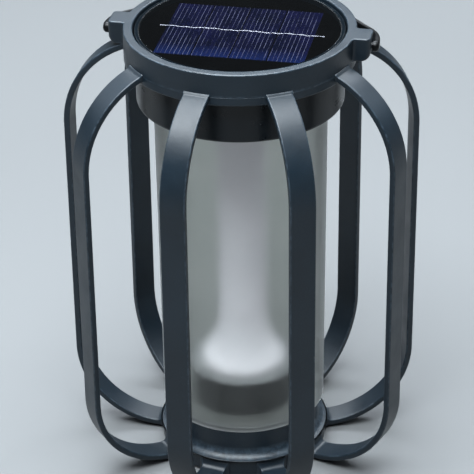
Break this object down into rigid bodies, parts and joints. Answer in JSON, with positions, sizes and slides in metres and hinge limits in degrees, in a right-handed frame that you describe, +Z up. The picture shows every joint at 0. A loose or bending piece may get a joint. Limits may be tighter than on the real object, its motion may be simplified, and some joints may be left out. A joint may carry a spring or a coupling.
{
  "type": "solar lantern",
  "caption": "Caged solar lantern: bent-strap frame with a folding handle around a lift-out light unit with solar top and frosted diffuser.",
  "frame": {"origin": "centre of the foot pad's underside, on the ground, on the lantern's axis", "axes": "+Z up the lantern's axis; X through the two handle lugs, with a cage strap straight under the -X lug; the folded handle lies towards +Y"},
  "size_m": [0.1701, 0.1728, 0.23],
  "materials": {
    "cage_coat": "satin slate-grey powder coat",
    "black_rubber": "matt",
    "black_pin": "black oxide, satin",
    "handle_plastic": "black, semi-gloss",
    "window_glass": "clear, glossy",
    "solar_cell": "dark blue silicon with fine fingers",
    "tinned_ribbon": "tinned, bright",
    "black_backing": "black laminate",
    "module_plastic": "black, fine texture",
    "screw_steel": "zinc plated",
    "battery_wrap": "shrink sleeve",
    "holder_plastic": "black, moulded",
    "contact_metal": "nickel plated",
    "red_wire": "wire insulation",
    "circuit_board": "green solder mask",
    "component_plastic": "black component moulding",
    "button_plastic": "grey, satin",
    "frosted_diffuser": "frosted, translucent",
    "opal_guide": "opal white, translucent",
    "lamp_base_plastic": "black, glossy",
    "white_board": "white solder mask",
    "led_phosphor": "yellow phosphor",
    "black_cable": "cable sheath"
  },
  "bodies": {
    "cage": {"top_ring": "cage_coat", "cage_ribs": "cage_coat", "base_plate": "cage_coat", "foot_pad": "black_rubber", "handle_pins": "black_pin"},
    "handle": {"handle": "handle_plastic"},
    "light_unit": {"solar_window": "window_glass", "solar_cells": "solar_cell", "cell_ribbon": "tinned_ribbon", "cell_backing": "black_backing", "module_housing": "module_plastic", "module_cover": "module_plastic", "cover_screws": "screw_steel", "collar_seal": "black_rubber", "battery": "battery_wrap", "battery_holder": "holder_plastic", "battery_contacts": "contact_metal", "battery_leads": "red_wire", "charge_board": "circuit_board", "board_parts": "component_plastic", "board_screws": "screw_steel", "panel_leads": "red_wire", "switch_body": "component_plastic", "diffuser_tube": "frosted_diffuser", "tube_seal": "black_rubber", "light_guide": "opal_guide", "lamp_base": "lamp_base_plastic", "lamp_base_screws": "screw_steel", "led_board": "white_board", "led_chips": "led_phosphor", "lamp_cable": "black_cable"},
    "power_button": {"power_button": "button_plastic"}
  },
  "joints": [
    {"name": "handle_fold", "type": "hinge", "parent": "cage", "child": "handle", "pos_m": [0, 0, 0.2246], "axis": [1, 0, 0], "range_deg": [0, 180]},
    {"name": "unit_lift", "type": "slide", "parent": "cage", "child": "light_unit", "axis": [0, 0, 1], "range_m": [0, 0.21]},
    {"name": "button_press", "type": "slide", "parent": "light_unit", "child": "power_button", "axis": [0, 0, 1], "range_m": [0, 0.001], "stiffness_N_per_m": 900, "springref_m": -0.0005}
  ]
}
